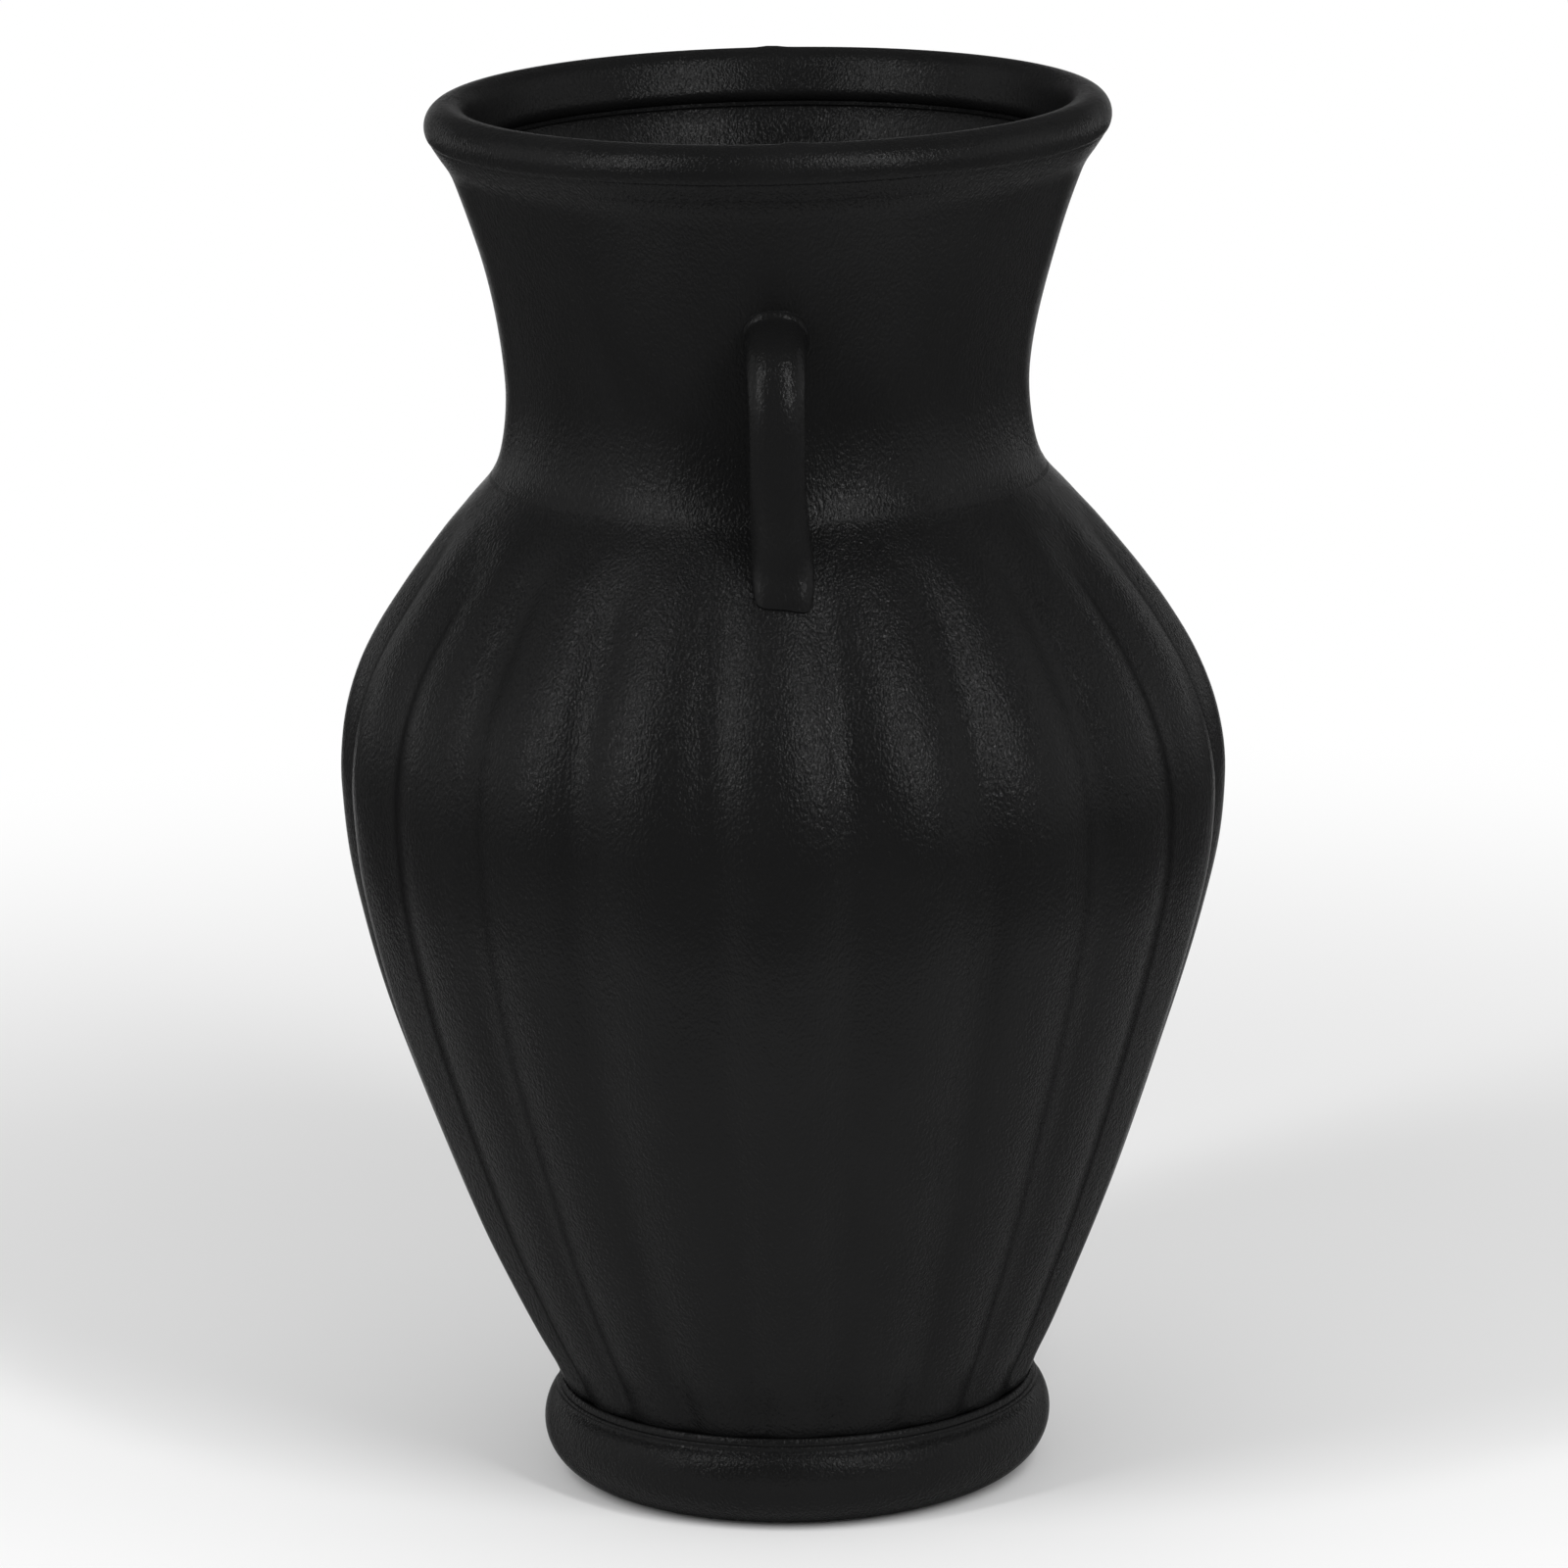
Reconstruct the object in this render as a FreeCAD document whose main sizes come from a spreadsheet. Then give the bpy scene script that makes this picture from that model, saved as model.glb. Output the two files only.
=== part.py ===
import FreeCAD, Part
import math
import os
import Sketcher

# Two-handled lobed ceramic jar, built up from thrown and moulded sections that
# are joined with clay slip: foot, lobed belly, neck, rolled rim and two strap handles.
# The origin is the middle of the ring that the jar stands on, with Z up.
# One handle faces -Y and the other +Y.

# Sizes in millimetres. Widths are measured across the whole jar. Each rise is
# counted from the feature below, and each inset from the feature outside it.
SIZES = (
    ("slip_thickness", 0.8),
    ("joint_tongue_height", 2.0),
    ("joint_tongue_width", 2.2),
    ("foot_width", 110.6),
    ("foot_rest_inset", 9.15),
    ("foot_rest_band", 4.0),
    ("foot_bore_draft", 1.2),
    ("foot_roll_rise", 10.9),
    ("foot_shoulder_rise", 6.8),
    ("foot_shoulder_inset", 2.45),
    ("foot_cove_rise", 1.3),
    ("foot_cove_inset", 2.2),
    ("foot_bead_inset", 0.4),
    ("belly_base_inset", 1.7),
    ("belly_widest_rise", 133.2),
    ("belly_width", 189.6),
    ("belly_wall", 4.6),
    ("floor_thickness", 6.0),
    ("lobe_depth", 3.3),
    ("shoulder_rise", 66.5),
    ("shoulder_spread", 3.5),
    ("mouth_step_height", 3.0),
    ("mouth_step_inset", 2.7),
    ("neck_wall", 4.6),
    ("neck_waist_width", 111.1),
    ("neck_waist_rise", 17.7),
    ("neck_throat_rise", 16.0),
    ("neck_throat_flare", 1.7),
    ("neck_flare_rise", 34.0),
    ("neck_flare", 10.6),
    ("rim_height", 11.2),
    ("rim_overhang", 4.65),
    ("rim_roll_radius", 5.0),
    ("rim_under_rise", 5.8),
    ("rim_crease_inset", 3.5),
    ("rim_inner_drop", 2.3),
    ("rim_inner_inset", 3.9),
    ("mouth_lip_stand", 4.0),
    ("mouth_lip_drop", 6.3),
    ("mouth_lip_height", 1.5),
    ("rim_seam_radius", 3.0),
    ("rim_seam_stand", 0.5),
    ("rim_seam_offset", 4.5),
    ("handle_root_rise", 20.6),
    ("handle_stand", 21.25),
    ("handle_strap_width", 11.6),
    ("handle_strap_thickness", 9.0),
    ("handle_root_spread", 2.2),
    ("handle_root_swell", 0.6),
    ("handle_bend_radius", 13.0),
    ("handle_burial", 9.0),
    ("slip_collar_width", 0.5),
)
LOBE_COUNT = 20

# Rise of the belly wall: share of the height, share of the swell, share of the lobe depth
LOWER_BELLY_SHARES = (
    (0.0, 0.0, 0.55),
    (0.022, 0.06, 0.9),
    (0.05, 0.102, 1.0),
    (0.11, 0.2, 1.0),
    (0.2, 0.321, 1.0),
    (0.3, 0.443, 1.0),
    (0.42, 0.573, 1.0),
    (0.54, 0.693, 1.0),
    (0.66, 0.807, 1.0),
    (0.78, 0.902, 1.0),
    (0.89, 0.97, 1.0),
)
UPPER_BELLY_SHARES = (
    (0.0, 1.0, 1.0),
    (0.12, 0.988, 1.0),
    (0.26, 0.938, 1.0),
    (0.4, 0.843, 1.0),
    (0.53, 0.71, 1.0),
    (0.65, 0.559, 0.97),
    (0.75, 0.419, 0.8),
    (0.84, 0.285, 0.45),
    (0.91, 0.164, 0.12),
    (0.96, 0.071, 0.0),
    (1.0, 0.0, 0.0),
)

# Extra run of the neck's wall where it leans outwards, at its foot and at its top
LEANING_WALL_SHARE = 1.16
FLARED_WALL_SHARE = 1.05

# Where a handle lands on the shoulder: share of the shoulder's drop and of its swell
LANDING_DROP_SHARE = 0.158
LANDING_SWELL_SHARE = 0.275

# Handle between its bend and its landing: share of the way down, share of the way
# in, share of the spread from strap size to root size
HANDLE_RUN_SHARES = (
    (0.35, 0.34, 0.0),
    (0.7, 0.86, 0.1),
    (0.88, 1.0, 0.45),
)
# Handle round its bend: share of the quarter turn, share of the spread to root size
HANDLE_BEND_SHARES = (
    (0.0, 1.0),
    (0.35, 0.65),
    (0.7, 0.2),
    (1.0, 0.0),
)
QUARTER_TURN = 90.0
FULL_TURN = 360.0


def make_sheet(document):
    """Put every size in the sheet as a plain number with its name as alias."""
    sheet = document.addObject("Spreadsheet::Sheet", "Sizes")
    for row, (name, number) in enumerate(SIZES, start=1):
        sheet.set(f"A{row}", name)
        sheet.set(f"B{row}", str(number))
        sheet.setAlias(f"B{row}", name)
    document.recompute()
    return sheet


class Size:
    """A length and the formula over the sheet's cells that gives it."""

    def __init__(self, number, formula):
        self.number = number
        self.formula = formula

    def __float__(self):
        return float(self.number)

    def __add__(self, other):
        other = as_size(other)
        return Size(self.number + other.number, f"({self.formula} + {other.formula})")

    def __sub__(self, other):
        other = as_size(other)
        return Size(self.number - other.number, f"({self.formula} - {other.formula})")

    def __mul__(self, other):
        other = as_size(other)
        return Size(self.number * other.number, f"({self.formula} * {other.formula})")

    def __truediv__(self, other):
        other = as_size(other)
        return Size(self.number / other.number, f"({self.formula} / {other.formula})")


def as_size(value):
    """A plain number is its own formula."""
    if isinstance(value, Size):
        return value
    return Size(value, str(value))


doc = FreeCAD.newDocument("lobed_jar")
sheet = make_sheet(doc)


def size(name):
    """The named cell as a size."""
    return Size(float(sheet.get(name)), f"Sizes.{name}")


# Sketches of turned sections
def arc_from_upright(drift, rise):
    """Radius of the arc that starts upright and drifts sideways over a rise."""
    return (drift * drift + rise * rise) / (drift * 2)


def origin_plane(body, role):
    return next(item for item in body.Origin.OriginFeatures if item.Role == role)


def arc_centre(start, end, arc_radius, bulge):
    """Centre of the arc from start to end; bulge 1 turns left, -1 turns right."""
    chord = end.sub(start)
    middle = start.add(chord.multiply(0.5))
    half = middle.distanceToPoint(start)
    left = FreeCAD.Vector(start.y - end.y, end.x - start.x, 0).normalize()
    reach = math.sqrt(max(arc_radius * arc_radius - half * half, 0))
    return middle.add(left.multiply(reach * bulge))


def add_arc(sketch, start, end, arc_radius, bulge):
    """Add the short arc from start to end and say which of its ends comes first."""
    number = float(arc_radius)
    centre = arc_centre(start, end, number, bulge)
    first, last = (start, end) if bulge > 0 else (end, start)
    begin_angle = math.atan2(first.y - centre.y, first.x - centre.x)
    finish_angle = math.atan2(last.y - centre.y, last.x - centre.x)
    circle = Part.Circle(centre, FreeCAD.Vector(0, 0, 1), number)
    index = sketch.addGeometry(Part.ArcOfCircle(circle, begin_angle, finish_angle), False)
    ends = (1, 2) if bulge > 0 else (2, 1)
    return index, ends


def pin_corner(sketch, edge, end, corner):
    """Hold a corner of the outline at its two lengths."""
    across, up = corner
    if across is ZERO:
        sketch.addConstraint(Sketcher.Constraint("PointOnObject", edge, end, -2))
    else:
        made = sketch.addConstraint(Sketcher.Constraint("DistanceX", -1, 1, edge, end, float(across)))
        sketch.setExpression(f"Constraints[{made}]", across.formula)
    if up is ZERO:
        sketch.addConstraint(Sketcher.Constraint("PointOnObject", edge, end, -1))
    else:
        made = sketch.addConstraint(Sketcher.Constraint("DistanceY", -1, 1, edge, end, float(up)))
        sketch.setExpression(f"Constraints[{made}]", up.formula)


def turned_sketch(body, name, outline):
    """Closed outline beside the upright axis.

    Each entry of the outline is a corner and the edge that leaves it: None for a
    straight edge, or the arc's radius and its bulge.
    """
    sketch = body.newObject("Sketcher::SketchObject", name)
    sketch.AttachmentSupport = [(origin_plane(body, "XZ_Plane"), "")]
    sketch.MapMode = "FlatFace"
    corners = [FreeCAD.Vector(float(corner[0]), float(corner[1]), 0) for corner, edge in outline]
    edges = []
    for place, (corner, edge) in enumerate(outline):
        start = corners[place]
        end = corners[(place + 1) % len(corners)]
        if edge is None:
            index = sketch.addGeometry(Part.LineSegment(start, end), False)
            edges.append((index, (1, 2)))
        else:
            edges.append(add_arc(sketch, start, end, edge[0], edge[1]))
    for place, (index, ends) in enumerate(edges):
        following, following_ends = edges[(place + 1) % len(edges)]
        joint = Sketcher.Constraint("Coincident", index, ends[1], following, following_ends[0])
        sketch.addConstraint(joint)
        pin_corner(sketch, index, ends[0], outline[place][0])
        if outline[place][1] is not None:
            arc_radius = outline[place][1][0]
            made = sketch.addConstraint(Sketcher.Constraint("Radius", index, float(arc_radius)))
            sketch.setExpression(f"Constraints[{made}]", arc_radius.formula)
    return sketch


def turned_body(name, outline):
    """A piece turned on the wheel: its outline revolved about the upright axis."""
    body = doc.addObject("PartDesign::Body", name)
    body.Label = name
    sketch = turned_sketch(body, name + "_outline", outline)
    revolution = body.newObject("PartDesign::Revolution", name + "_turning")
    revolution.Profile = sketch
    revolution.ReferenceAxis = (sketch, ["V_Axis"])
    revolution.Angle = FULL_TURN
    body.Tip = revolution
    return body


# Shapes cut and joined from other shapes
def boolean_cut(name, base, tool):
    result = doc.addObject("Part::Cut", name)
    result.Label = name
    result.Base = base
    result.Tool = tool
    return result


def boolean_common(name, first, second):
    result = doc.addObject("Part::MultiCommon", name)
    result.Label = name
    result.Shapes = [first, second]
    return result


def mirrored_to_back(name, source):
    """The same piece on the far side of the jar."""
    result = doc.addObject("Part::Mirroring", name)
    result.Label = name
    result.Source = source
    result.Base = FreeCAD.Vector(0, 0, 0)
    result.Normal = FreeCAD.Vector(0, 1, 0)
    return result


def shaped_feature(name, shape):
    feature = doc.addObject("Part::Feature", name)
    feature.Label = name
    feature.Shape = shape
    return feature


# Heights and radii that neighbouring pieces share, from the floor up
ZERO = as_size(0.0)
slip = size("slip_thickness")
tongue_height = size("joint_tongue_height")
tongue_width = size("joint_tongue_width")
foot_shoulder_height = size("foot_roll_rise") + size("foot_shoulder_rise")
foot_top = foot_shoulder_height + size("foot_cove_rise")
foot_rest = size("foot_width") / 2 - size("foot_rest_inset")
foot_bore = foot_rest - size("foot_rest_band")
foot_bore_top = foot_bore - size("foot_bore_draft")
foot_shoulder = size("foot_width") / 2 - size("foot_shoulder_inset")
foot_lip = foot_shoulder - size("foot_cove_inset")
foot_bead = foot_lip - size("foot_bead_inset")
base_height = foot_top + slip
base_radius = foot_bead - size("belly_base_inset")
widest_height = base_height + size("belly_widest_rise")
shoulder_top = widest_height + size("shoulder_rise")
waist_radius = size("neck_waist_width") / 2
shoulder_radius = waist_radius + size("shoulder_spread")
mouth_step = shoulder_radius - size("mouth_step_inset")
mouth_step_floor = shoulder_top - size("mouth_step_height")
neck_base = shoulder_top + slip
neck_inner_base = shoulder_radius - size("neck_wall") * LEANING_WALL_SHARE
waist_height = neck_base + size("neck_waist_rise")
throat_radius = waist_radius + size("neck_throat_flare")
neck_top = waist_height + size("neck_throat_rise") + size("neck_flare_rise")
neck_top_radius = throat_radius + size("neck_flare")
neck_inner_top = neck_top_radius - size("neck_wall") * FLARED_WALL_SHARE
rim_base = neck_top + slip
rim_top = rim_base + size("rim_height")
rim_radius = neck_top_radius + size("rim_overhang")
roll_centre = rim_radius - size("rim_roll_radius")

# Each tongue stands in the middle of the edge that it rises from
foot_tongue_inside = (foot_bore + foot_lip - tongue_width) / 2 - slip
rim_tongue_inside = (neck_inner_top + neck_top_radius - tongue_width) / 2


# Foot: a thick turned ring with a round outside, a flat resting face and a tongue on top
def foot_outline():
    widest = size("foot_width") / 2
    roll_height = size("foot_roll_rise")
    lower_roll = arc_from_upright(widest - foot_rest, roll_height)
    upper_roll = arc_from_upright(widest - foot_shoulder, size("foot_shoulder_rise"))
    cove = size("foot_cove_rise") + size("foot_cove_inset")
    tongue_outside = foot_tongue_inside + tongue_width
    return [
        ((foot_bore, ZERO), None),
        ((foot_rest, ZERO), (lower_roll, 1)),
        ((widest, roll_height), (upper_roll, 1)),
        ((foot_shoulder, foot_shoulder_height), (cove, -1)),
        ((foot_lip, foot_top), None),
        ((tongue_outside, foot_top), None),
        ((tongue_outside, foot_top + tongue_height), None),
        ((foot_tongue_inside, foot_top + tongue_height), None),
        ((foot_tongue_inside, foot_top), None),
        ((foot_bore_top, foot_top), None),
    ]


# Slip between foot and belly, with the bead that is squeezed out all round
def foot_slip_outline():
    tongue_outside = foot_tongue_inside + tongue_width
    tongue_top = foot_top + tongue_height
    return [
        ((foot_bore_top, foot_top), None),
        ((foot_tongue_inside, foot_top), None),
        ((foot_tongue_inside, tongue_top), None),
        ((tongue_outside, tongue_top), None),
        ((tongue_outside, foot_top), None),
        ((foot_bead, foot_top), (foot_bead - base_radius, 1)),
        ((base_radius, base_height), None),
        ((tongue_outside + slip, base_height), None),
        ((tongue_outside + slip, tongue_top + slip), None),
        ((foot_tongue_inside - slip, tongue_top + slip), None),
        ((foot_tongue_inside - slip, base_height), None),
        ((foot_bore_top, base_height), None),
    ]


foot_ring = turned_body("foot_ring", foot_outline())
foot_joint_slip = turned_body("foot_joint_slip", foot_slip_outline())


# Belly: a pot with its own floor and a wall of raised lobes, moulded in one piece
def belly_levels():
    """Height, crest radius and lobe depth of each level of the wall, foot to shoulder."""
    base = float(base_height)
    widest = float(widest_height)
    top = float(shoulder_top)
    crest = float(size("belly_width") / 2)
    base_crest = float(base_radius)
    top_crest = float(shoulder_radius)
    depth = float(size("lobe_depth"))
    levels = []
    for rise_share, swell_share, depth_share in LOWER_BELLY_SHARES:
        reach = base_crest + (crest - base_crest) * swell_share
        height = base + (widest - base) * rise_share
        levels.append((height, reach, depth * depth_share * reach / crest))
    for rise_share, swell_share, depth_share in UPPER_BELLY_SHARES:
        reach = top_crest + (crest - top_crest) * swell_share
        height = widest + (top - widest) * rise_share
        levels.append((height, reach, depth * depth_share * reach / crest))
    return levels


def lobed_level(height, crest, valley):
    """Closed outline of one level: an arc over each lobe, and corners in the valleys."""
    half_pitch = math.pi / LOBE_COUNT
    arcs = []
    for lobe in range(LOBE_COUNT):
        middle = half_pitch * 2 * lobe
        places = ((valley, middle - half_pitch), (crest, middle), (valley, middle + half_pitch))
        points = [FreeCAD.Vector(r * math.cos(a), r * math.sin(a), height) for r, a in places]
        arcs.append(Part.Arc(*points).toShape())
    return Part.Wire(arcs)


def lobed_form(cover):
    """Solid with the belly's outside, grown outwards by a cover."""
    wires = [lobed_level(z, crest + cover, crest - depth + cover) for z, crest, depth in belly_levels()]
    return Part.makeLoft(wires, True, False)


def hollow_points(wall):
    """Inside of the wall: the crest line moved inwards by the wall and the lobe depth."""
    levels = belly_levels()
    points = []
    for place, (height, crest, depth) in enumerate(levels):
        below = levels[max(place - 1, 0)]
        above = levels[min(place + 1, len(levels) - 1)]
        run = math.hypot(above[0] - below[0], above[1] - below[1])
        lean_out = (above[0] - below[0]) / run
        lean_up = (above[1] - below[1]) / run
        inset = wall + depth
        points.append(FreeCAD.Vector(crest - inset * lean_out, 0, height + inset * lean_up))
    return points


def hollow_form():
    """The space inside the belly, down to the floor."""
    floor = float(base_height + size("floor_thickness"))
    top = float(shoulder_top)
    mouth = float(neck_inner_base)
    wall_points = [p for p in hollow_points(float(size("belly_wall"))) if floor < p.z < top]
    lowest = wall_points[0]
    corner = FreeCAD.Vector(lowest.x - (lowest.z - floor) / 2, 0, floor)
    rim = FreeCAD.Vector(mouth, 0, top)
    side = Part.BSplineCurve()
    side.interpolate([corner] + wall_points + [rim])
    edges = [
        Part.makeLine(FreeCAD.Vector(0, 0, floor), corner),
        side.toShape(),
        Part.makeLine(rim, FreeCAD.Vector(0, 0, top)),
        Part.makeLine(FreeCAD.Vector(0, 0, top), FreeCAD.Vector(0, 0, floor)),
    ]
    face = Part.Face(Part.Wire(edges))
    return face.revolve(FreeCAD.Vector(0, 0, 0), FreeCAD.Vector(0, 0, 1), FULL_TURN)


def groove_outline():
    """Square groove that the foot's tongue and its slip fill."""
    inside = foot_tongue_inside - slip
    outside = foot_tongue_inside + tongue_width + slip
    top = foot_top + tongue_height + slip
    return [
        ((inside, foot_top), None),
        ((outside, foot_top), None),
        ((outside, top), None),
        ((inside, top), None),
    ]


def step_outline():
    """Round step in the mouth that the neck's slip beds into."""
    return [
        ((ZERO, mouth_step_floor), None),
        ((mouth_step, mouth_step_floor), None),
        ((mouth_step, neck_base), None),
        ((ZERO, neck_base), None),
    ]


belly_form = shaped_feature("belly_form", lobed_form(0.0))
belly_hollow = shaped_feature("belly_hollow", hollow_form())
belly_shell = boolean_cut("belly_shell", belly_form, belly_hollow)
belly_groove = turned_body("belly_groove", groove_outline())
belly_grooved = boolean_cut("belly_grooved", belly_shell, belly_groove)
belly_mouth_step = turned_body("belly_mouth_step", step_outline())
belly = boolean_cut("belly", belly_grooved, belly_mouth_step)


# Slip between shoulder and neck: it follows the stepped joint
def neck_slip_outline():
    return [
        ((neck_inner_base, mouth_step_floor), None),
        ((mouth_step, mouth_step_floor), None),
        ((mouth_step, shoulder_top), None),
        ((shoulder_radius, shoulder_top), None),
        ((shoulder_radius, neck_base), None),
        ((mouth_step - slip, neck_base), None),
        ((mouth_step - slip, mouth_step_floor + slip), None),
        ((neck_inner_base, mouth_step_floor + slip), None),
    ]


# Neck: a flaring collar, narrowest at its waist, with a stepped foot and a tongue on top
def neck_line(inset):
    """Points and arcs of the neck's outside, moved inwards by an inset from the waist up."""
    waist = waist_radius - inset
    lower_bend = arc_from_upright(size("neck_throat_flare"), size("neck_throat_rise")) + inset
    growth = lower_bend / (lower_bend - inset)
    drift = size("neck_throat_flare") * growth
    rise = size("neck_throat_rise") * growth
    return waist, (waist + drift, waist_height + rise), lower_bend


def flare_bend(waist, throat, bend, top):
    """Radius of the upper arc, which carries on smoothly from the throat's arc."""
    drift = throat[0] - waist
    rise = throat[1] - waist_height
    across = top[0] - throat[0]
    up = top[1] - throat[1]
    turn = across * (bend - drift) / bend - up * rise / bend
    return (across * across + up * up) / (turn * 2)


def neck_outline():
    wall = size("neck_wall")
    outer_waist, outer_throat, outer_bend = neck_line(ZERO)
    inner_waist, inner_throat, inner_bend = neck_line(wall)
    outer_foot_bend = arc_from_upright(shoulder_radius - outer_waist, size("neck_waist_rise"))
    inner_foot_bend = arc_from_upright(neck_inner_base - inner_waist, size("neck_waist_rise"))
    outer_flare = flare_bend(outer_waist, outer_throat, outer_bend, (neck_top_radius, neck_top))
    inner_flare = flare_bend(inner_waist, inner_throat, inner_bend, (neck_inner_top, neck_top))
    tongue_outside = rim_tongue_inside + tongue_width
    return [
        ((mouth_step - slip, neck_base), None),
        ((shoulder_radius, neck_base), (outer_foot_bend, -1)),
        ((outer_waist, waist_height), (outer_bend, -1)),
        (outer_throat, (outer_flare, -1)),
        ((neck_top_radius, neck_top), None),
        ((tongue_outside, neck_top), None),
        ((tongue_outside, neck_top + tongue_height), None),
        ((rim_tongue_inside, neck_top + tongue_height), None),
        ((rim_tongue_inside, neck_top), None),
        ((neck_inner_top, neck_top), (inner_flare, 1)),
        (inner_throat, (inner_bend, 1)),
        ((inner_waist, waist_height), (inner_foot_bend, 1)),
        ((neck_inner_base, neck_base), None),
        ((neck_inner_base, mouth_step_floor + slip), None),
        ((mouth_step - slip, mouth_step_floor + slip), None),
    ]


neck_joint_slip = turned_body("neck_joint_slip", neck_slip_outline())
neck_collar = turned_body("neck_collar", neck_outline())


# Slip between neck and rim, shaped like a channel over the tongue
def rim_slip_outline():
    tongue_outside = rim_tongue_inside + tongue_width
    tongue_top = neck_top + tongue_height
    return [
        ((neck_inner_top, neck_top), None),
        ((rim_tongue_inside, neck_top), None),
        ((rim_tongue_inside, tongue_top), None),
        ((tongue_outside, tongue_top), None),
        ((tongue_outside, neck_top), None),
        ((neck_top_radius, neck_top), None),
        ((neck_top_radius, rim_base), None),
        ((tongue_outside + slip, rim_base), None),
        ((tongue_outside + slip, tongue_top + slip), None),
        ((rim_tongue_inside - slip, tongue_top + slip), None),
        ((rim_tongue_inside - slip, rim_base), None),
        ((neck_inner_top, rim_base), None),
    ]


# Rim: a rolled bead over a short collar, with a lip that stands in over the neck's inside
def rim_outline():
    roll = size("rim_roll_radius")
    roll_height = rim_top - roll
    collar_top = roll_height - size("rim_under_rise")
    crease = rim_radius - size("rim_crease_inset")
    under_roll = arc_from_upright(size("rim_crease_inset"), size("rim_under_rise"))
    inner = roll_centre - size("rim_inner_inset")
    inner_height = rim_top - size("rim_inner_drop")
    inner_roll = arc_from_upright(size("rim_inner_drop"), size("rim_inner_inset"))
    mouth = inner - size("mouth_lip_stand")
    lip_top = inner_height - size("mouth_lip_drop")
    groove_inside = rim_tongue_inside - slip
    groove_outside = rim_tongue_inside + tongue_width + slip
    groove_top = neck_top + tongue_height + slip
    return [
        ((groove_outside, rim_base), None),
        ((neck_top_radius, rim_base), None),
        ((neck_top_radius, collar_top), None),
        ((crease, collar_top), (under_roll, 1)),
        ((rim_radius, roll_height), (roll, 1)),
        ((roll_centre, rim_top), (inner_roll, 1)),
        ((inner, inner_height), None),
        ((mouth, lip_top), None),
        ((mouth, lip_top - size("mouth_lip_height")), None),
        ((neck_inner_top, rim_base), None),
        ((groove_inside, rim_base), None),
        ((groove_inside, groove_top), None),
        ((groove_outside, groove_top), None),
    ]


def seam_lump(name, side, offset):
    """Small lump on the bead where the two halves of the rim's mould met."""
    lump = doc.addObject("Part::Sphere", name)
    lump.setExpression("Radius", size("rim_seam_radius").formula)
    up = rim_top + size("rim_seam_stand") - size("rim_seam_radius")
    lump.setExpression("Placement.Base.x", offset.formula)
    lump.setExpression("Placement.Base.y", (roll_centre * side).formula)
    lump.setExpression("Placement.Base.z", up.formula)
    return lump


rim_joint_slip = turned_body("rim_joint_slip", rim_slip_outline())
rim_turning = turned_body("rim_turning", rim_outline())
front_lump = seam_lump("rim_lump_front", -1, size("rim_seam_offset"))
back_lump = seam_lump("rim_lump_back", 1, ZERO)
rim_ring = doc.addObject("Part::MultiFuse", "rim_ring")
rim_ring.Label = "rim_ring"
rim_ring.Shapes = [rim_turning, front_lump, back_lump]


# Handles: straps with an oval section, wider where they are pressed onto the jar
def handle_stations():
    """Middle of each section: reach from the axis, height, turn and spread share."""
    bend = size("handle_bend_radius")
    root_height = waist_height + size("handle_root_rise")
    outer = waist_radius + size("handle_stand") - size("handle_strap_thickness") / 2
    bend_centre = outer - bend
    bend_height = root_height - bend
    stations = [(waist_radius - size("handle_burial") / 2, root_height, 0.0, 1.0)]
    for bend_share, spread_share in HANDLE_BEND_SHARES:
        turn = math.radians(QUARTER_TURN * bend_share)
        reach = bend_centre + bend * math.sin(turn)
        stations.append((reach, bend_height + bend * math.cos(turn), QUARTER_TURN * bend_share, spread_share))
    landing = shoulder_radius + (size("belly_width") / 2 - shoulder_radius) * LANDING_SWELL_SHARE
    landing_height = shoulder_top - size("shoulder_rise") * LANDING_DROP_SHARE
    for drop_share, inward_share, spread_share in HANDLE_RUN_SHARES:
        reach = outer - (outer - landing) * inward_share
        height = bend_height - (bend_height - landing_height) * drop_share
        stations.append((reach, height, QUARTER_TURN, spread_share))
    stations.append((landing, landing_height, QUARTER_TURN, 1.0))
    stations.append((landing, landing_height - size("handle_burial"), QUARTER_TURN, 1.0))
    return stations


def oval_sketch(body, name, station, margin):
    """Oval section square to the strap's run, at its place in front of the axis."""
    reach, height, turn, spread_share = station
    width = size("handle_strap_width") + size("handle_root_spread") * spread_share + margin * 2
    thickness = size("handle_strap_thickness") + size("handle_root_swell") * spread_share + margin * 2
    sketch = body.newObject("Sketcher::SketchObject", name)
    sketch.AttachmentSupport = [(origin_plane(body, "XY_Plane"), "")]
    sketch.MapMode = "FlatFace"
    tilt = FreeCAD.Rotation(FreeCAD.Vector(1, 0, 0), QUARTER_TURN + turn)
    place = FreeCAD.Vector(0, -float(reach), float(height))
    sketch.AttachmentOffset = FreeCAD.Placement(place, tilt)
    sketch.setExpression("AttachmentOffset.Base.y", (reach * -1).formula)
    sketch.setExpression("AttachmentOffset.Base.z", height.formula)
    centre = FreeCAD.Vector(0, 0, 0)
    side = FreeCAD.Vector(float(width) / 2, 0, 0)
    crown = FreeCAD.Vector(0, float(thickness) / 2, 0)
    oval = sketch.addGeometry(Part.Ellipse(side, crown, centre), False)
    sketch.exposeInternalGeometry(oval)
    long_axis = oval + 1
    short_axis = oval + 2
    sketch.addConstraint(Sketcher.Constraint("Coincident", oval, 3, -1, 1))
    sketch.addConstraint(Sketcher.Constraint("Horizontal", long_axis))
    for axis, whole in ((long_axis, width), (short_axis, thickness)):
        made = sketch.addConstraint(Sketcher.Constraint("Distance", axis, float(whole)))
        sketch.setExpression(f"Constraints[{made}]", whole.formula)
    return sketch


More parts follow.
